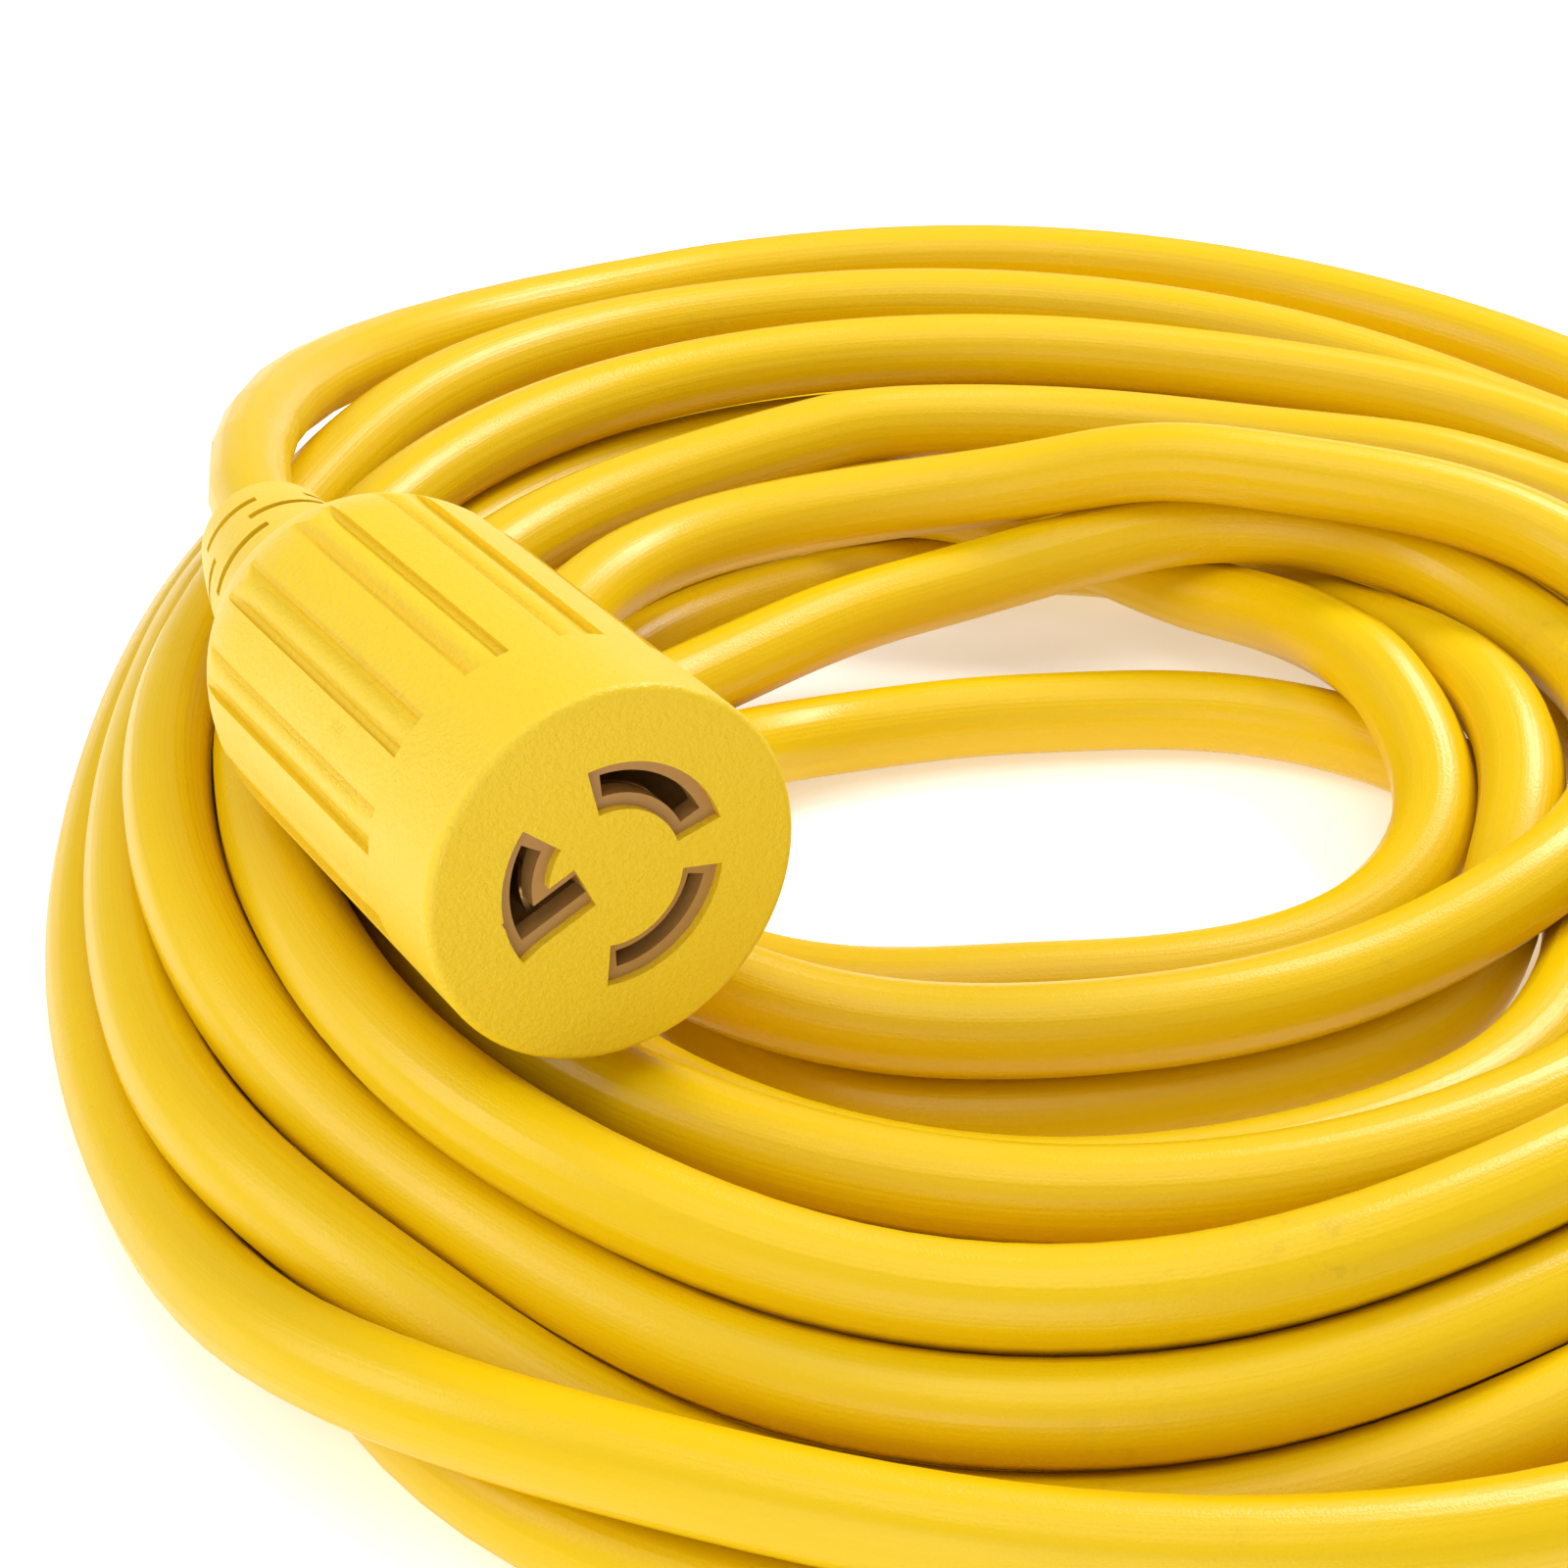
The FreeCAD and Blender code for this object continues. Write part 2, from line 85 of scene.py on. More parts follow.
# ---- how each turn lies: (azimuth, radius, height) where its course changes.
# The cord runs clockwise seen from above. It spirals in along the floor and out again on top.
APPROACH = [(90, 129, 10), (70, 126, 10.5), (49, 119, 12), (32, 112, 14.6), (15, 103, 14)]
TURNS = [
    # outer floor turn, under the last one at the front
    [(0, 98, 14), (340, 97, 12), (325, 99.5, 8), (310, 105, 5), (290, 111.5, 5),
     (270, 115, 5), (246, 112, 5), (238, 107, 5), (225, 97, 5), (200, 89, 5), (180, 87.5, 5),
     (150, 92, 5), (120, 98, 5), (90, 100, 5), (65, 94, 5), (45, 87, 5), (20, 83, 5)],
    [(0, 81, 5), (340, 88, 5), (315, 96, 5), (270, 97, 5), (240, 92, 5), (225, 87, 5),
     (200, 80, 5), (180, 78, 5), (150, 82, 5), (120, 88, 5), (90, 90, 5), (65, 84, 5.5),
     (45, 78, 7), (20, 80, 13.5)],
    [(0, 86, 14), (340, 89, 13.5), (315, 90, 13), (290, 89, 13), (270, 88, 13), (240, 84, 13),
     (225, 82, 13), (200, 76, 13), (180, 73, 13), (150, 74, 13), (120, 76, 13), (90, 75, 13),
     (65, 73, 13), (45, 73, 13), (20, 72, 13)],
    [(0, 75, 12.5), (340, 80, 8.5), (315, 87, 5), (270, 87, 5), (240, 81, 5), (225, 77, 5),
     (200, 70.5, 5), (180, 68.5, 5), (150, 72, 5), (120, 78, 5), (90, 80, 5), (65, 74, 5),
     (45, 68, 5), (20, 69, 5)],
    # this one crosses to the inside at the back and makes the right end of the hole
    [(0, 70, 5), (340, 74, 5), (315, 78, 5), (270, 77, 5), (240, 71, 5), (225, 67.5, 5),
     (200, 61, 5), (180, 59.5, 5), (156, 60, 5), (135, 61, 5.5), (120, 59, 8), (110, 56, 11),
     (97, 52, 13.8), (85, 49, 12.5), (75, 48, 11), (60, 48, 9.5), (46, 47.5, 10),
     (30, 46.5, 12), (18, 46.5, 13.8)],
    [(0, 48, 11.5), (344, 47.5, 8), (330, 43.5, 5.5), (310, 37.5, 4.6), (290, 33.5, 4.6),
     (274, 32, 4.6), (250, 35, 4.6), (234, 39, 4.6), (206, 44, 4.6), (180, 48, 4.6),
     (156, 50.5, 4.6), (135, 51, 4.6), (115, 50, 4.6), (97, 52, 4.6), (80, 54.5, 4.6),
     (60, 56, 4.6), (45, 54, 7), (33, 53, 11), (15, 53, 13.8)],
    # the tightest turn
    [(0, 55, 14), (345, 58, 12), (331, 59.5, 8.5), (313, 56, 5), (290, 52, 4.6),
     (270, 52.5, 4.6), (250, 54, 5), (235, 52.5, 7), (225, 50, 10), (206, 43.5, 14),
     (190, 37, 12), (175, 31.5, 9), (156, 26, 5.8), (130, 20, 4.6), (93, 18, 4.6),
     (70, 20, 4.6), (50, 25, 4.6), (38, 31, 4.6), (27, 38, 4.6), (15, 46, 4.6)],
    [(0, 56, 5), (345, 64, 5), (330, 69.5, 7.5), (315, 72, 11), (290, 71.5, 12.5),
     (270, 72, 12.5), (250, 71, 12.5), (225, 66, 12.5), (206, 58, 13), (190, 49.5, 13.5),
     (175, 41, 13.5), (160, 35, 13), (142, 31.5, 13), (116, 31, 13), (92, 33.5, 13.5),
     (75, 38, 15.5), (60, 45.5, 17.8), (48, 51.5, 18.5), (37, 57.5, 18.5), (20, 64, 18)],
    # from here the turns climb and widen over the others
    [(0, 67.5, 17), (345, 64, 15.5), (331, 60, 14.5), (320, 56, 14), (296, 52, 13.5),
     (270, 50.5, 13.5), (245, 53, 14.5), (225, 56, 18), (206, 54, 21),
     (190, 51, 22), (170, 49, 21), (144, 47.5, 20), (121, 43, 20), (90, 41, 21.5),
     (60, 44.5, 24.5), (45, 50.5, 24.5), (36, 55.5, 24), (18, 68, 22.5)],
    [(0, 75, 21.5), (331, 83, 20), (315, 83, 19.5), (299, 83, 19), (275, 81, 19),
     (254, 78, 19), (225, 74, 19.5), (200, 69, 20), (180, 66, 20), (151, 62, 20),
     (113, 58, 20), (89, 60, 20), (60, 64, 20), (46, 67, 20), (29, 77, 20)],
    [(0, 86, 21), (325, 90.5, 20.5), (302, 91, 20), (294, 92, 20), (271, 95.4, 19.5),
     (252, 95, 20), (228, 89, 22), (206, 82, 22), (180, 79, 21.5), (143, 76, 20),
     (108, 77, 20), (70, 80, 20), (53, 85, 20), (37, 91.5, 20)],
    [(0, 95, 20), (315, 99, 16), (295, 101, 14), (273, 102, 14), (257, 101, 15),
     (236, 97, 16.5), (209, 90, 18), (180, 87, 20), (148, 90, 20), (130, 100, 18),
     (111, 104, 15), (88, 106, 14), (65, 103, 13), (45, 101, 13)],
    [(0, 101, 20), (340, 102.5, 18.5), (315, 103.5, 15), (293, 105, 9), (286, 106.5, 8),
     (262, 108, 9), (242, 105, 11), (220, 99, 12), (197, 92, 11.5), (180, 91, 11), (150, 100, 8),
     (120, 108, 5), (90, 110, 5), (65, 104, 5), (45, 97, 5), (20, 94, 5)],
    # the outermost turn, which leaves for the plug
    [(0, 97, 5), (345, 102, 5), (330, 107, 5), (315, 112.5, 6), (300, 117, 9.5),
     (285, 118, 12.5), (270, 116, 13), (254, 110, 13), (239, 107, 11.5), (225, 104, 8),
     (206, 99, 5), (180, 97, 5), (162, 99, 5), (135, 110, 5), (115, 118, 5), (90, 119, 5), (65, 112, 5),
     (50, 107, 5)],
]
PLANES = 72             # sections round the coil at which the turns are kept apart
SETTLE_ROUNDS = 450
HOMING = 0.05           # share of the way back to its place that a strand moves in every round
STIFFENING_PASSES = 5   # how hard each strand resists a bend in every round
PUSHES = 2              # times in every round that neighbours push each other
PUSH_SHARE = 0.8        # of an overlap that one push clears
NEIGHBOUR_GAP = 1.02    # of the cord's diameter
CONNECTOR_CLEARANCE = 0.2   # between a strand and the connector
FAR_OFF = 1e5           # where a turn that misses a plane is parked, out of every push
TINY = 1e-9             # keeps a distance from being nothing

# ---- the finishes
PATCH_TONE = 0.93      # of the colour, in a slow patch
SCUFF_TONE = 0.84      # of the colour, in a scuff
TARNISH_TONE = 0.7     # of the colour, on the metals
SCUFF_DULLING = 0.22   # roughness that a scuff adds
LINE_SCALE = (3.0, 26.0, 1.0)   # of the jacket's lines, over the cord's UV map

# ---- the camera, in metres and degrees
CAMERA_PLACE = (-0.023, -0.2916, 0.208)
CAMERA_TILT = 55.5
CAMERA_LENS = 74.25

# ---- soft lights: name, place, aim, size and watts
SOFT_LIGHTS = (
    ("back_right_softbox", (0.35, 0.42, 0.55), (0, 0, 0), (0.36, 0.16), 4.4),
    ("left_softbox", (-0.6, -0.1, 0.45), (0, 0, 0), (0.4, 0.4), 1.9),
    ("top_softbox", (0.0, -0.1, 0.9), (0, 0, 0), (0.6, 0.6), 2.2),
    ("front_fill", (-0.1, -0.75, 0.22), (-0.03, -0.06, 0.03), (0.6, 0.5), 1.7),
)
SKY_STRENGTH = 0.38
FLOOR_HALF_SIDE = 3.0
FLOOR_DROP = 0.0002   # below the object, so that no face lies in the floor
FLOOR_COLOUR = (0.92, 0.92, 0.92, 1)
FLOOR_ROUGHNESS = 0.6
FLOOR_GLOW = 0.34


class ShoreCordSizes(bpy.types.PropertyGroup):
    """Sizes of the cord and its grain"""
    cord_diameter: bpy.props.FloatProperty(
        name="Cord diameter", description="Outside diameter of the jacket",
        default=0.0092, unit="LENGTH")
    cord_length: bpy.props.FloatProperty(
        name="Cord length", description="Sold length from connector to plug",
        default=7.62, unit="LENGTH")
    grain_depth: bpy.props.FloatProperty(
        name="Grain depth", description="Depth of the moulded grain",
        default=0.00018, precision=5, unit="LENGTH")


class ShoreCordColours(bpy.types.PropertyGroup):
    """Colours of the plastics"""
    jacket: bpy.props.FloatVectorProperty(
        name="Jacket", description="Colour of the cord's jacket", subtype="COLOR", size=4,
        default=(0.83, 0.54, 0.0, 1.0), min=0.0, max=1.0)
    overmould: bpy.props.FloatVectorProperty(
        name="Overmould", description="Colour of the moulded bodies", subtype="COLOR", size=4,
        default=(0.88, 0.60, 0.012, 1.0), min=0.0, max=1.0)
    nylon: bpy.props.FloatVectorProperty(
        name="Contact carrier", description="Colour of the carrier", subtype="COLOR", size=4,
        default=(0.46, 0.25, 0.07, 1.0), min=0.0, max=1.0)


# ---------------------------------------------------------------- the lie of the coil

def travel(turn, azimuth):
    """Degrees travelled clockwise at a place on a turn; the approach is turn -1."""
    return 360.0 * turn + (360.0 - azimuth) % 360.0


def stations():
    """The whole course as travelled angle, radius and height, with the fixed ends."""
    rows = []
    for x, y, z in LEAD_RUN[2:]:
        rows.append((-math.degrees(math.atan2(y, x)), math.hypot(x, y), z))
    rows += [(-azimuth, radius, height) for azimuth, radius, height in APPROACH]
    for turn, places in enumerate(TURNS):
        rows += [(travel(turn, a), radius, height) for a, radius, height in places]
    last = len(TURNS) - 1
    for x, y, z in TAIL_RUN[:4]:
        rows.append((travel(last, math.degrees(math.atan2(y, x))), math.hypot(x, y), z))
    return np.array(rows, float)


def smooth_through(places, at):
    """A smooth curve of radius and height through the places."""
    t, values = places[:, 0], places[:, 1:]
    slope = np.gradient(values, t, axis=0)
    i = np.clip(np.searchsorted(t, at, side="right") - 1, 0, len(t) - 2)
    h = (t[i + 1] - t[i])[:, None]
    u = ((at - t[i]) / h[:, 0])[:, None]
    return ((2 * u**3 - 3 * u**2 + 1) * values[i] + (u**3 - 2 * u**2 + u) * h * slope[i]
            + (3 * u**2 - 2 * u**3) * values[i + 1] + (u**3 - u**2) * h * slope[i + 1])


def settled_turns(diameter):
    """Section points of the coil, its strands eased apart; a few still press into each other."""
    places = stations()
    step = 360.0 / PLANES
    first = math.ceil(places[0, 0] / step)
    last = math.floor(places[-1, 0] / step)
    index = np.arange(first, last + 1)
    angle = index * step
    target = smooth_through(places, angle)
    lead_end = -math.degrees(math.atan2(LEAD_RUN[-1][1], LEAD_RUN[-1][0]))
    tail_start = travel(len(TURNS) - 1, math.degrees(math.atan2(TAIL_RUN[0][1], TAIL_RUN[0][0])))
    fixed = (angle <= lead_end) | (angle >= tail_start)
    # a table with one row for each turn and one column for each plane
    offset = index + PLANES
    row, column = offset // PLANES, offset % PLANES
    rows = row.max() + 1
    used = np.zeros((rows, PLANES), bool)
    used[row, column] = True
    held = np.ones((rows, PLANES), bool)
    held[row, column] = fixed
    bearing = np.radians(-step * np.arange(PLANES))
    east, north = np.cos(bearing), np.sin(bearing)
    profile = np.array(CONNECTOR_PROFILE, float)
    radius = diameter / 2
    line = target.copy()
    share = np.where(held[:, None], 0.0, np.where(held[None], 1.0, 0.5))
    parked = (1 + np.arange(rows))[:, None, None] * FAR_OFF * np.ones((1, PLANES, 2))
    for _ in range(SETTLE_ROUNDS):
        line[fixed] = target[fixed]
        line += HOMING * (target - line)
        for _ in range(STIFFENING_PASSES):
            padded = np.vstack([line[:1], line[:1], line, line[-1:], line[-1:]])
            bend = (padded[:-4] - 4 * padded[1:-3] + 6 * padded[2:-2] - 4 * padded[3:-1]
                    + padded[4:]) / 16
            bend[:2] = 0
            bend[-2:] = 0
            line -= bend
        lean = np.gradient(line[:, 0]) / np.maximum(line[:, 0] * math.radians(step), 1)
        for _ in range(PUSHES):
            table = parked.copy()
            table[row, column] = line
            squeeze = np.ones((rows, PLANES))
            squeeze[row, column] = 1 / np.sqrt(1 + lean**2)
            apart = table[:, None] - table[None]
            apart[..., 0] *= np.minimum(squeeze[:, None], squeeze[None])
            distance = np.linalg.norm(apart, axis=-1) + TINY
            over = np.clip(diameter * NEIGHBOUR_GAP - distance, 0, None)
            over[np.arange(rows), np.arange(rows)] = 0
            push = (over * share * PUSH_SHARE / distance)[..., None] * apart
            line = line + push.sum(1)[row, column]
            line[:, 1] = np.maximum(line[:, 1], radius)
        place = np.stack([line[:, 0] * east[column], line[:, 0] * north[column], line[:, 1]], -1)
        out = place - CONNECTOR_FACE
        along = -(out @ CONNECTOR_AXIS)
        side = out + along[:, None] * CONNECTOR_AXIS
        reach = np.linalg.norm(side, axis=-1) + TINY
        need = np.interp(along, profile[:, 0], profile[:, 1]) + radius + CONNECTOR_CLEARANCE
        inside = (along > profile[0, 0]) & (along < profile[-1, 0])
        push = np.where(inside, np.clip(need - reach, 0, None), 0) / reach
        line[:, 0] += push * (side[:, 0] * east[column] + side[:, 1] * north[column])
        line[:, 1] = np.maximum(line[:, 1] + push * side[:, 2], radius)
    free = ~fixed
    line, column = line[free], column[free]
    return np.stack([line[:, 0] * east[column], line[:, 0] * north[column], line[:, 1]], -1)


def cord_points(diameter):
    """The control points of the whole cord in metres, from inside the connector to the plug."""
    start = [CONNECTOR_FACE - CONNECTOR_AXIS * back for back in (JACKET_END, RELIEF_MIDDLE)]
    return np.vstack([start, LEAD_RUN, settled_turns(diameter), TAIL_RUN]) * MM


# ---------------------------------------------------------------- shared finish groups

def node_group(name, inputs, outputs):
    """An empty shader group with its sockets, and its input and output nodes."""
    group = bpy.data.node_groups.new(name, "ShaderNodeTree")
    for title, kind, value in inputs:
        socket = group.interface.new_socket(title, in_out="INPUT", socket_type=kind)
        if value is not None:
            socket.default_value = value
    for title, kind in outputs:
        group.interface.new_socket(title, in_out="OUTPUT", socket_type=kind)
    entry = group.nodes.new("NodeGroupInput")
    leave = group.nodes.new("NodeGroupOutput")
    return group, entry, leave


def add_noise(nodes, links, vector, scale, detail, roughness):
    """A noise on a vector; the scale is a number or a socket."""
    noise = nodes.new("ShaderNodeTexNoise")
    links.new(vector, noise.inputs["Vector"])
    if isinstance(scale, (int, float)):
        noise.inputs["Scale"].default_value = scale
    else:
        links.new(scale, noise.inputs["Scale"])
    noise.inputs["Detail"].default_value = detail
    noise.inputs["Roughness"].default_value = roughness
    return noise


def add_range(nodes, links, value, low, high, to_low, to_high):
    """A value fitted from one range to another; each end is a number or a socket."""
    fit = nodes.new("ShaderNodeMapRange")
    links.new(value, fit.inputs["Value"])
    for socket, number in zip(("From Min", "From Max", "To Min", "To Max"),
                              (low, high, to_low, to_high)):
        if isinstance(number, (int, float)):
            fit.inputs[socket].default_value = number
        else:
            links.new(number, fit.inputs[socket])
    return fit.outputs["Result"]


def moulded_grain_group():
    """Fine pebble of a spark-eroded mould, with slow patches of shine."""
    group, entry, leave = node_group(
        "moulded_grain",
        [("Vector", "NodeSocketVector", None), ("Pebble Scale", "NodeSocketFloat", 2600.0),
         ("Roughness Low", "NodeSocketFloat", 0.35), ("Roughness High", "NodeSocketFloat", 0.5)],
        [("Height", "NodeSocketFloat"), ("Roughness", "NodeSocketFloat"),
         ("Patch", "NodeSocketFloat")])
    nodes, links = group.nodes, group.links
    pebble = add_noise(nodes, links, entry.outputs["Vector"], entry.outputs["Pebble Scale"], 3, 0.6)
    patch = add_noise(nodes, links, entry.outputs["Vector"], 55.0, 4, 0.6)
    links.new(pebble.outputs["Fac"], leave.inputs["Height"])
    links.new(add_range(nodes, links, patch.outputs["Fac"], 0.3, 0.7,
                        entry.outputs["Roughness Low"], entry.outputs["Roughness High"]),
              leave.inputs["Roughness"])
    links.new(patch.outputs["Fac"], leave.inputs["Patch"])
    return group


def scuff_group():
    """Sparse dull rub marks and specks of grime, as a mask."""
    group, entry, leave = node_group(
        "scuffs",
        [("Vector", "NodeSocketVector", None), ("Amount", "NodeSocketFloat", 0.62)],
        [("Mask", "NodeSocketFloat")])
    nodes, links = group.nodes, group.links
    where = add_noise(nodes, links, entry.outputs["Vector"], 30.0, 3, 0.5)
    streak = add_noise(nodes, links, entry.outputs["Vector"], 420.0, 4, 0.7)
    area = add_range(nodes, links, where.outputs["Fac"], entry.outputs["Amount"], 0.75, 0.0, 1.0)
    mark = add_range(nodes, links, streak.outputs["Fac"], 0.52, 0.64, 0.0, 1.0)
    both = nodes.new("ShaderNodeMath")
    both.operation = "MULTIPLY"
    links.new(area, both.inputs[0])
    links.new(mark, both.inputs[1])
    links.new(both.outputs[0], leave.inputs["Mask"])
    return group


def shared_group(name):
    """The shared group of that name, made at its first use."""
    made = bpy.data.node_groups.get(name)
    if made:
        return made
    return {"moulded_grain": moulded_grain_group, "scuffs": scuff_group}[name]()


def place_group(material, name, **values):
    """A shared group placed in a material with its own values."""
    node = material.node_tree.nodes.new("ShaderNodeGroup")
    node.node_tree = shared_group(name)
    for title, value in values.items():
        node.inputs[title.replace("_", " ")].default_value = value
    return node


def blank_material(name):
    """A new material with its nodes, links and shader."""
    made = bpy.data.materials.new(name)
    made.use_nodes = True
    nodes = made.node_tree.nodes
    return made, nodes, made.node_tree.links, nodes["Principled BSDF"]


def mix_colours(nodes, links, factor, first, second):
    """One colour to the other by a mask; each is a colour or a socket."""
    mix = nodes.new("ShaderNodeMix")
    mix.data_type = "RGBA"
    links.new(factor, mix.inputs["Factor"])
    for socket, colour in ((mix.inputs["A"], first), (mix.inputs["B"], second)):
        if hasattr(colour, "is_output"):
            links.new(colour, socket)
        else:
            socket.default_value = colour
    return mix.outputs["Result"]


def darker(colour, by):
    """The same colour with less light."""
    return tuple(channel * by for channel in colour[:3]) + (1.0,)


def plastic(name, colour, roughness, pebble_scale, depth, scuffs, lines=0.0):
    """Moulded or extruded plastic: grain, patches of shine, scuffs, and lines along a cord."""
    made, nodes, links, shader = blank_material(name)
    where = nodes.new("ShaderNodeTexCoord")
    grain = place_group(made, "moulded_grain", Pebble_Scale=pebble_scale,
                        Roughness_Low=roughness - 0.05, Roughness_High=roughness + 0.08)
    links.new(where.outputs["Object"], grain.inputs["Vector"])
    marks = place_group(made, "scuffs", Amount=scuffs)
    links.new(where.outputs["Object"], marks.inputs["Vector"])
    tone = mix_colours(nodes, links, grain.outputs["Patch"], colour,
                       darker(colour, PATCH_TONE))
    worn = mix_colours(nodes, links, marks.outputs["Mask"], tone,
                       darker(colour, SCUFF_TONE))
    links.new(worn, shader.inputs["Base Color"])
    dulled = nodes.new("ShaderNodeMath")
    dulled.operation = "MULTIPLY_ADD"
    links.new(marks.outputs["Mask"], dulled.inputs[0])
    dulled.inputs[1].default_value = SCUFF_DULLING
    links.new(grain.outputs["Roughness"], dulled.inputs[2])
    links.new(dulled.outputs[0], shader.inputs["Roughness"])
    height = grain.outputs["Height"]
    if lines:
        stretch = nodes.new("ShaderNodeMapping")
        stretch.inputs["Scale"].default_value = LINE_SCALE
        links.new(where.outputs["UV"], stretch.inputs["Vector"])
        ridges = add_noise(nodes, links, stretch.outputs["Vector"], 1.0, 2, 0.5)
        total = nodes.new("ShaderNodeMath")
        total.operation = "MULTIPLY_ADD"
        links.new(ridges.outputs["Fac"], total.inputs[0])
        total.inputs[1].default_value = lines
        links.new(height, total.inputs[2])
        height = total.outputs[0]
    bump = nodes.new("ShaderNodeBump")
    bump.inputs["Distance"].default_value = depth
    bump.inputs["Strength"].default_value = 1.0
    links.new(height, bump.inputs["Height"])
    links.new(bump.outputs["Normal"], shader.inputs["Normal"])
    return made, shader


def metal(name, colour, roughness):
    """Rolled contact metal with fine drawing marks and darker tarnish."""
    made, nodes, links, shader = blank_material(name)
    where = nodes.new("ShaderNodeTexCoord")
    grain = place_group(made, "moulded_grain", Pebble_Scale=1800.0,
                        Roughness_Low=roughness - 0.06, Roughness_High=roughness + 0.12)
    links.new(where.outputs["Object"], grain.inputs["Vector"])
    tone = mix_colours(nodes, links, grain.outputs["Patch"], colour,
                       darker(colour, TARNISH_TONE))
    links.new(tone, shader.inputs["Base Color"])
    links.new(grain.outputs["Roughness"], shader.inputs["Roughness"])
    shader.inputs["Metallic"].default_value = 1.0
    bump = nodes.new("ShaderNodeBump")
    bump.inputs["Distance"].default_value = 0.00003
    links.new(grain.outputs["Height"], bump.inputs["Height"])
    links.new(bump.outputs["Normal"], shader.inputs["Normal"])
    return made


def jacket_material():
    """Extruded jacket: satin, with faint lines along the cord."""
    scene = bpy.context.scene
    made, shader = plastic("yellow_jacket_finish", tuple(scene.shore_colours.jacket), 0.29,
                           3200.0, 0.00004, 0.66, lines=3.0)
    shader.inputs["Specular IOR Level"].default_value = 0.35
    return made


def overmould_material():
    """Moulded bodies: matt, with a visible grain."""
    scene = bpy.context.scene
    return plastic("yellow_overmould_finish", tuple(scene.shore_colours.overmould), 0.40,
                   1700.0, scene.shore_sizes.grain_depth, 0.58)[0]


def nylon_material():
    """Contact carrier: lets a little light through."""
    made, shader = plastic("amber_nylon_finish",
                           tuple(bpy.context.scene.shore_colours.nylon), 0.3, 2000.0,
                           0.00003, 0.7)
    shader.inputs["Subsurface Weight"].default_value = 0.4
    shader.inputs["Subsurface Radius"].default_value = (0.006, 0.003, 0.001)
    return made


INSULATION = {
    "white_insulation": (0.8, 0.8, 0.76),
    "black_insulation": (0.02, 0.02, 0.022),
    "green_insulation": (0.03, 0.28, 0.08),
}


def inner_plastic(name, colour, roughness=0.4, pebble_scale=2500.0, depth=0.00003):
    """A plastic that is hidden inside the bodies, with few scuffs."""
    return plastic(name, (*colour, 1.0), roughness, pebble_scale, depth, 0.7)[0]


def finishes():
    """The finish of each material slot."""
    made = {
        "yellow_overmould": overmould_material(),
        "yellow_jacket": jacket_material(),
        "amber_nylon": nylon_material(),
        "inner_mould": inner_plastic("inner_mould_finish", (0.10, 0.09, 0.07), 0.5, 1500.0,
                                     0.00005),
        "brass": metal("brass_finish", (0.80, 0.53, 0.20, 1), 0.28),
        "copper": metal("copper_finish", (0.80, 0.38, 0.22, 1), 0.35),
    }
    for slot, colour in INSULATION.items():
        made[slot] = inner_plastic(slot + "_finish", colour)
    return made


SLOT_OF_PART = {
    "_body": "yellow_overmould",
    "_carrier": "amber_nylon",
    "_inner_mold": "inner_mould",
    "_contact_": "brass",
    "_blade_": "brass",
    "_strands_": "copper",
    "_wire_neutral": "white_insulation",
    "_wire_line": "black_insulation",
    "_wire_ground": "green_insulation",
    "cord_": "yellow_jacket",
}


def slot_of(node_name):
    """The material slot that a node of that name belongs to."""
    for part, slot in SLOT_OF_PART.items():
        if part in node_name:
            return slot
    raise RuntimeError(f"no finish is named for {node_name}")


# ---------------------------------------------------------------- grip ribs

def one_rib():
    """A slim rib with rounded ends, standing off the local Z axis on the +X side."""
    mesh = bpy.data.meshes.new("rib")
    shape = bmesh.new()
    steps, across = 24, 8
    rings = []
    for i in range(steps + 1):
        share = i / steps
        # full along its length and rounded off at both ends
        swell = max(0.03, 1 - abs(2 * share - 1) ** 10) ** 0.5
        ring = []
        for k in range(across + 1):
            turn = math.pi * k / across
            ring.append(shape.verts.new((
                (RIB_FLOOR + (RIB_TOP - RIB_FLOOR) * swell * math.sin(turn)) * MM,
                RIB_HALF_WIDTH * swell * math.cos(turn) * MM,
                -(RIB_FROM + (RIB_TO - RIB_FROM) * share) * MM)))
        rings.append(ring)
    for near, far in zip(rings, rings[1:]):
        for k in range(across + 1):
            after = (k + 1) % (across + 1)
            shape.faces.new((near[k], near[after], far[after], far[k]))
    shape.faces.new(rings[0])
    shape.faces.new(rings[-1])
    bmesh.ops.recalc_face_normals(shape, faces=shape.faces)
    shape.to_mesh(mesh)
    shape.free()
    return mesh


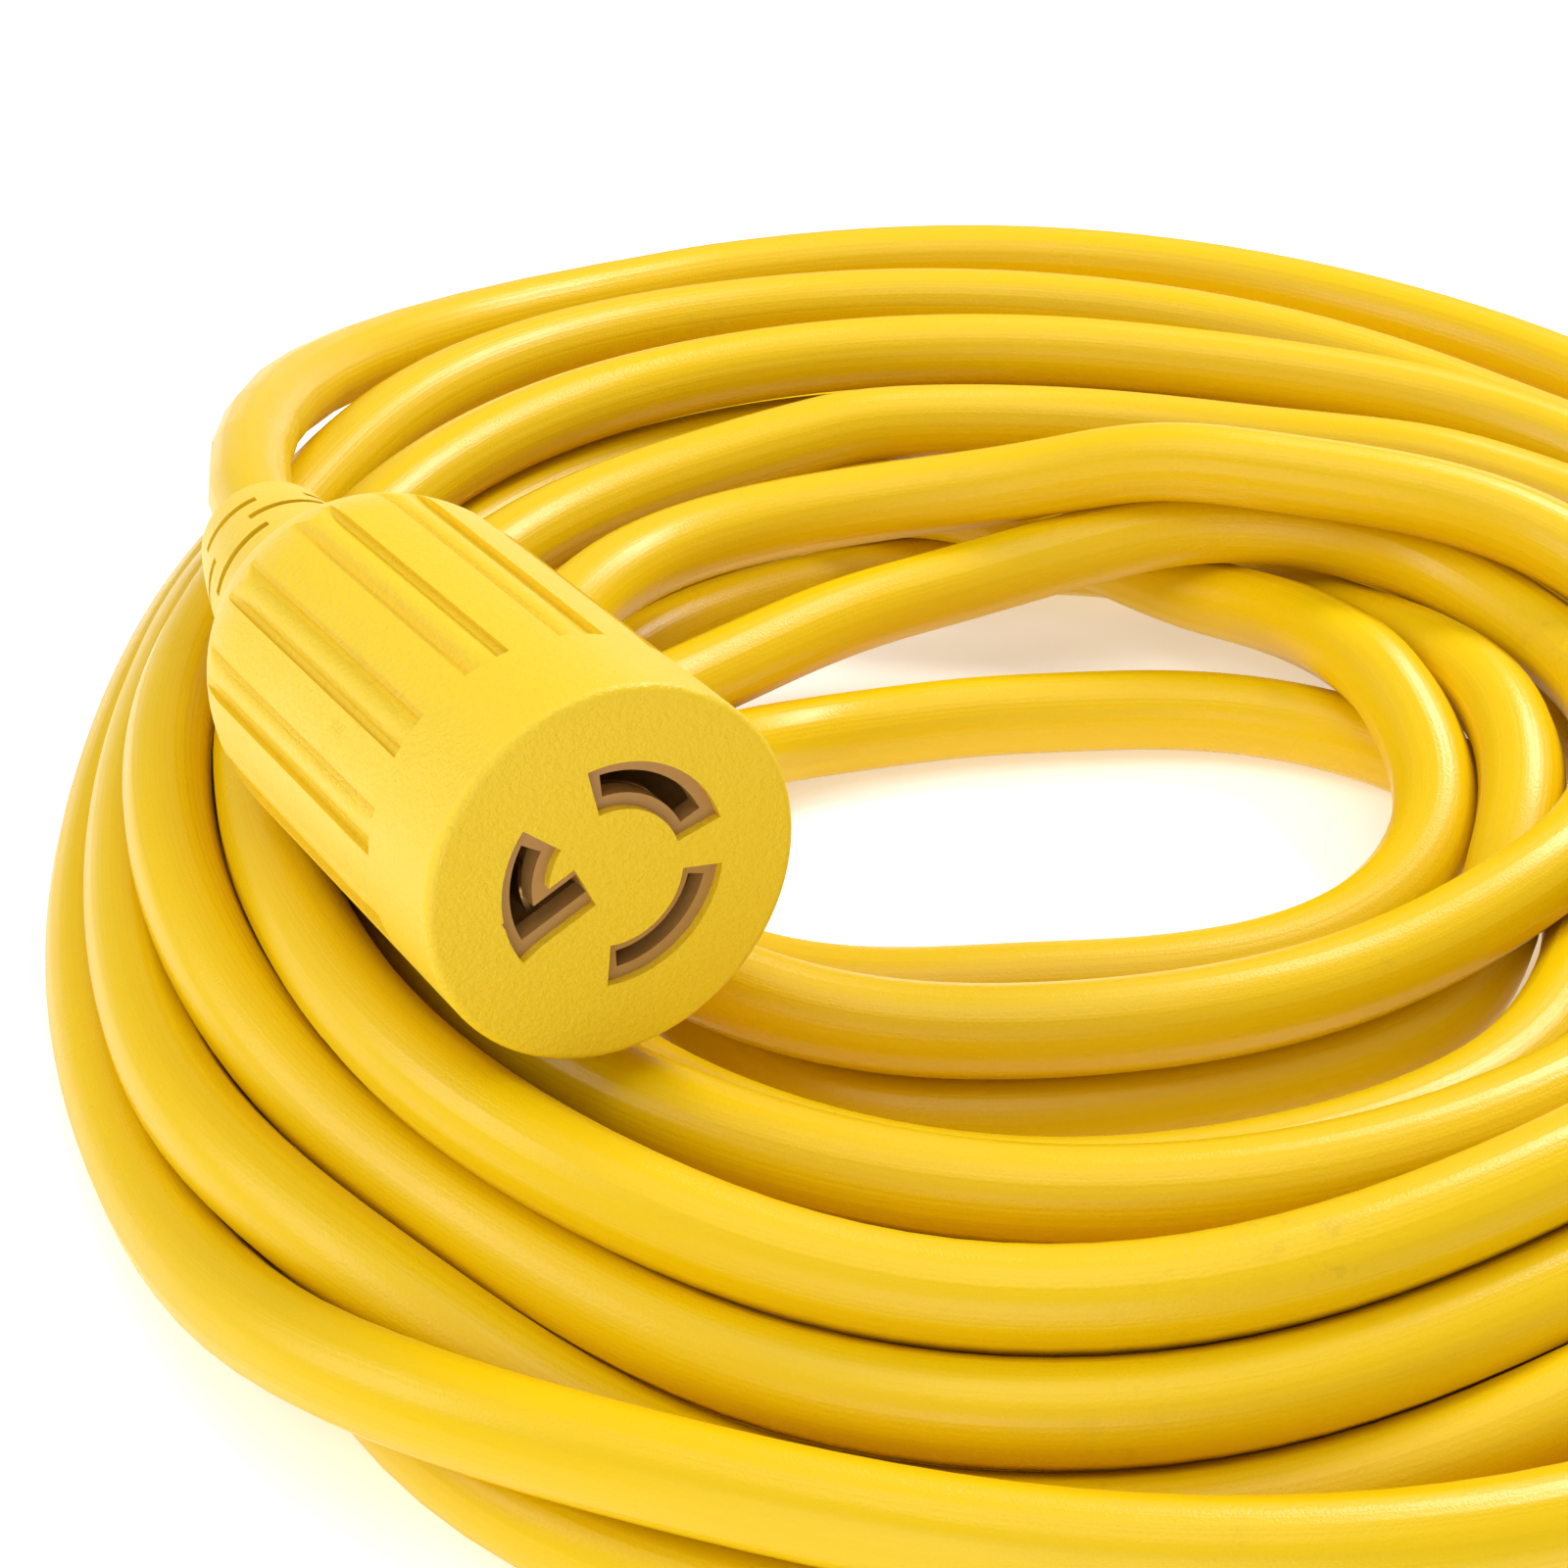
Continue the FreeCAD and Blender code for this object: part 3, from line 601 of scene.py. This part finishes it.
def around_axis_tree():
    """Repeats a shape evenly round the local Z axis, half a pitch on from +X."""
    made = bpy.data.node_groups.get("around_axis")
    if made:
        return made
    tree = bpy.data.node_groups.new("around_axis", "GeometryNodeTree")
    tree.interface.new_socket("Shape", in_out="INPUT", socket_type="NodeSocketGeometry")
    tree.interface.new_socket("Count", in_out="INPUT", socket_type="NodeSocketInt")
    tree.interface.new_socket("Finish", in_out="INPUT", socket_type="NodeSocketMaterial")
    tree.interface.new_socket("Shapes", in_out="OUTPUT", socket_type="NodeSocketGeometry")
    nodes, links = tree.nodes, tree.links
    entry = nodes.new("NodeGroupInput")
    leave = nodes.new("NodeGroupOutput")
    points = nodes.new("GeometryNodePoints")
    index = nodes.new("GeometryNodeInputIndex")
    half = nodes.new("ShaderNodeMath")
    half.operation = "ADD"
    half.inputs[1].default_value = 0.5
    part = nodes.new("ShaderNodeMath")
    part.operation = "DIVIDE"
    turn = nodes.new("ShaderNodeMath")
    turn.operation = "MULTIPLY"
    turn.inputs[1].default_value = math.tau
    angles = nodes.new("ShaderNodeCombineXYZ")
    rotation = nodes.new("FunctionNodeEulerToRotation")
    place = nodes.new("GeometryNodeInstanceOnPoints")
    realize = nodes.new("GeometryNodeRealizeInstances")
    paint = nodes.new("GeometryNodeSetMaterial")
    links.new(entry.outputs["Count"], points.inputs["Count"])
    links.new(index.outputs[0], half.inputs[0])
    links.new(half.outputs[0], part.inputs[0])
    links.new(entry.outputs["Count"], part.inputs[1])
    links.new(part.outputs[0], turn.inputs[0])
    links.new(turn.outputs[0], angles.inputs["Z"])
    links.new(angles.outputs[0], rotation.inputs[0])
    links.new(points.outputs[0], place.inputs["Points"])
    links.new(entry.outputs["Shape"], place.inputs["Instance"])
    links.new(rotation.outputs[0], place.inputs["Rotation"])
    links.new(place.outputs[0], realize.inputs[0])
    links.new(realize.outputs[0], paint.inputs["Geometry"])
    links.new(entry.outputs["Finish"], paint.inputs["Material"])
    links.new(paint.outputs[0], leave.inputs["Shapes"])
    return tree


def ribs_round(name, face, axis, right):
    """The ribs of one moulded body, as a plain mesh in its place."""
    tree = around_axis_tree()
    sockets = {item.name: item.identifier for item in tree.interface.items_tree
               if item.in_out == "INPUT"}
    pattern = bpy.data.objects.new(name + "_pattern", one_rib())
    bpy.context.collection.objects.link(pattern)
    modifier = pattern.modifiers.new("around_axis", "NODES")
    modifier.node_group = tree
    modifier[sockets["Count"]] = FLUTES
    modifier[sockets["Finish"]] = bpy.data.materials["yellow_overmould_finish"]
    bpy.context.view_layer.update()
    depsgraph = bpy.context.evaluated_depsgraph_get()
    mesh = bpy.data.meshes.new_from_object(pattern.evaluated_get(depsgraph), depsgraph=depsgraph)
    bpy.data.objects.remove(pattern)
    out = Vector(axis).normalized()
    across = Vector(right).normalized()
    frame_of_body = Matrix((across, out.cross(across), out)).transposed().to_4x4()
    frame_of_body.translation = Vector(face) * MM
    mesh.transform(frame_of_body)
    mesh.shade_smooth()
    mesh.name = name
    ribs = bpy.data.objects.new(name, mesh)
    bpy.context.collection.objects.link(ribs)
    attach(ribs, BODY)
    if len(mesh.polygons) < FLUTES:
        raise RuntimeError(f"{name} has no ribs")
    return ribs


# ---------------------------------------------------------------- operators

class SHORE_OT_camera(bpy.types.Operator):
    """Place the camera in front of and above the coil"""
    bl_idname = "shore.camera"
    bl_label = "Camera"

    def execute(self, context):
        data = bpy.data.cameras.new("camera")
        data.lens = CAMERA_LENS
        data.sensor_width = 36.0
        data.clip_start = 0.01
        camera = bpy.data.objects.new("camera", data)
        camera.location = CAMERA_PLACE
        camera.rotation_euler = (math.radians(CAMERA_TILT), 0, 0)
        context.collection.objects.link(camera)
        context.scene.camera = camera
        return {"FINISHED"}


class SHORE_OT_cord(bpy.types.Operator):
    """Lay the coiled cord from the connector to the plug"""
    bl_idname = "shore.cord"
    bl_label = "Cord"

    def execute(self, context):
        sizes = context.scene.shore_sizes
        points = cord_points(sizes.cord_diameter / MM)
        curve = bpy.data.curves.new("cord", "CURVE")
        curve.dimensions = "3D"
        curve.bevel_depth = sizes.cord_diameter / 2
        curve.bevel_resolution = 4
        curve.resolution_u = 2
        curve.use_fill_caps = True
        spline = curve.splines.new("NURBS")
        spline.points.add(len(points) - 1)
        for target, point in zip(spline.points, points):
            target.co = (*point, 1.0)
        spline.order_u = 3
        spline.use_endpoint_u = True
        cord = bpy.data.objects.new("cord", curve)
        context.collection.objects.link(cord)
        curve.materials.append(bpy.data.materials["yellow_jacket_finish"])
        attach(cord, BODY)
        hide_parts("cord_lead", "cord_coil", "cord_tail")
        return {"FINISHED"}


class SHORE_OT_finishes(bpy.types.Operator):
    """Give the connector, the plug and what is inside them their finishes"""
    bl_idname = "shore.finishes"
    bl_label = "Finishes"

    def execute(self, context):
        made = finishes()
        for name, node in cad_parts.items():
            for slot in node.material_slots:
                slot.material = made[slot_of(name)]
        return {"FINISHED"}


class SHORE_OT_grip_ribs(bpy.types.Operator):
    """Stand a rounded rib in every flute of the two moulded bodies"""
    bl_idname = "shore.grip_ribs"
    bl_label = "Grip Ribs"

    def execute(self, context):
        ribs_round("connector_ribs", CONNECTOR_FACE, CONNECTOR_AXIS, CONNECTOR_RIGHT)
        ribs_round("plug_ribs", PLUG_FACE, PLUG_AXIS, PLUG_RIGHT)
        return {"FINISHED"}


def area_light(name, location, aim, size, power):
    """A rectangular softbox turned to the point it lights."""
    data = bpy.data.lights.new(name, "AREA")
    data.shape = "RECTANGLE"
    data.size, data.size_y = size
    data.energy = power
    lamp = bpy.data.objects.new(name, data)
    lamp.location = location
    lamp.rotation_euler = (Vector(aim) - Vector(location)).to_track_quat("-Z", "Y").to_euler()
    bpy.context.collection.objects.link(lamp)


class SHORE_OT_stage(bpy.types.Operator):
    """Make the pale floor and the soft lights"""
    bl_idname = "shore.stage"
    bl_label = "Stage"

    def execute(self, context):
        half = FLOOR_HALF_SIDE
        mesh = bpy.data.meshes.new("floor")
        corners = [(-half, -half, 0), (half, -half, 0), (half, half, 0), (-half, half, 0)]
        mesh.from_pydata(corners, [], [(0, 1, 2, 3)])
        floor = bpy.data.objects.new("floor", mesh)
        floor.location.z = -FLOOR_DROP
        context.collection.objects.link(floor)
        made, _, _, shader = blank_material("pale_floor")
        shader.inputs["Base Color"].default_value = FLOOR_COLOUR
        shader.inputs["Roughness"].default_value = FLOOR_ROUGHNESS
        shader.inputs["Emission Color"].default_value = (1, 1, 1, 1)
        shader.inputs["Emission Strength"].default_value = FLOOR_GLOW
        mesh.materials.append(made)
        world = bpy.data.worlds.new("studio")
        world.use_nodes = True
        background = world.node_tree.nodes["Background"]
        background.inputs["Color"].default_value = (1, 1, 1, 1)
        background.inputs["Strength"].default_value = SKY_STRENGTH
        context.scene.world = world
        context.scene.view_settings.view_transform = "Standard"
        for light in SOFT_LIGHTS:
            area_light(*light)
        return {"FINISHED"}


class SHORE_PT_panel(bpy.types.Panel):
    """Sizes, colours and steps of the shore cord"""
    bl_idname = "SHORE_PT_panel"
    bl_label = "Shore Cord"
    bl_space_type = "VIEW_3D"
    bl_region_type = "UI"
    bl_category = "Shore Cord"

    def draw(self, context):
        layout = self.layout
        for group in (context.scene.shore_sizes, context.scene.shore_colours):
            for name in group.__annotations__:
                layout.prop(group, name)
        for operator in (SHORE_OT_camera, SHORE_OT_finishes, SHORE_OT_grip_ribs, SHORE_OT_cord,
                         SHORE_OT_stage):
            layout.operator(operator.bl_idname)


CLASSES = (ShoreCordSizes, ShoreCordColours, SHORE_OT_camera, SHORE_OT_finishes,
           SHORE_OT_grip_ribs, SHORE_OT_cord, SHORE_OT_stage, SHORE_PT_panel)


def register():
    for one in CLASSES:
        bpy.utils.register_class(one)
    bpy.types.Scene.shore_sizes = bpy.props.PointerProperty(type=ShoreCordSizes)
    bpy.types.Scene.shore_colours = bpy.props.PointerProperty(type=ShoreCordColours)


def unregister():
    del bpy.types.Scene.shore_colours
    del bpy.types.Scene.shore_sizes
    for one in reversed(CLASSES):
        bpy.utils.unregister_class(one)


def main():
    register()
    bpy.ops.shore.camera()
    bpy.ops.shore.finishes()
    bpy.ops.shore.grip_ribs()
    bpy.ops.shore.cord()
    bpy.ops.shore.stage()
    bpy.context.view_layer.update()


if __name__ == "__main__":
    main()
